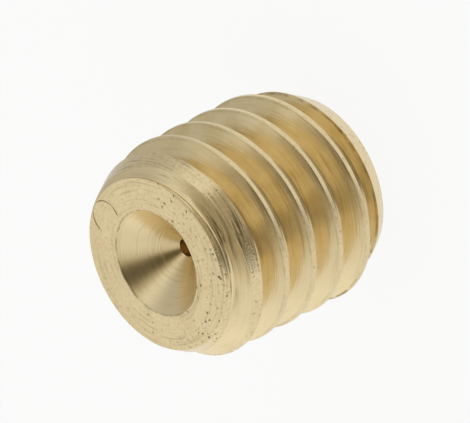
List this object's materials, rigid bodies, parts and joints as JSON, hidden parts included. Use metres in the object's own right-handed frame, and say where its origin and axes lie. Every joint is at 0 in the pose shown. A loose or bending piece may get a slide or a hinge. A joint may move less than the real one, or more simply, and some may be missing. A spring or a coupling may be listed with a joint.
{
  "type": "adjusting screw",
  "caption": "Short brass set screw with a full-length metric thread, a coned cup with a small centre hole in one end and a hexagon socket in the other.",
  "frame": {"origin": "centre of the lower (socket) end face, on the screw's axis", "axes": "+Z along the screw's axis, out of the cup; +X is where the lowest crest starts, 0.492 mm above the lower face"},
  "size_m": [0.0058, 0.0058, 0.006],
  "materials": {
    "brass": "as turned, bright, with fine lathe marks and small pits"
  },
  "bodies": {
    "root": {"adjusting_screw": "brass"}
  },
  "joints": []
}
